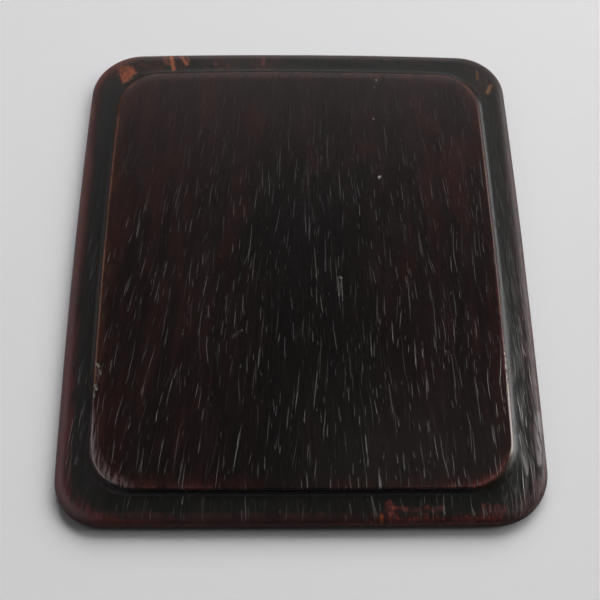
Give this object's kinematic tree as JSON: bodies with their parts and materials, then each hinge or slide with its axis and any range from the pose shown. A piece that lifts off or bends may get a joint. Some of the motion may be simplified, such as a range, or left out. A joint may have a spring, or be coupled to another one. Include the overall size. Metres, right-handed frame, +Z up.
{
  "type": "wooden box cover",
  "caption": "Thin dark hardwood cover with a flat rim, a softly rounded edge and a raised rectangular panel.",
  "frame": {"origin": "centre of the underside's bounding box, on the surface that the cover lies on", "axes": "+X across the grain, +Y along the grain, +Z up, from the underside to the raised panel"},
  "size_m": [0.13, 0.151, 0.005],
  "materials": {
    "board_wood": "satin",
    "panel_wood": "satin"
  },
  "bodies": {
    "root": {"cover_board": "board_wood", "raised_panel": "panel_wood"}
  },
  "joints": []
}
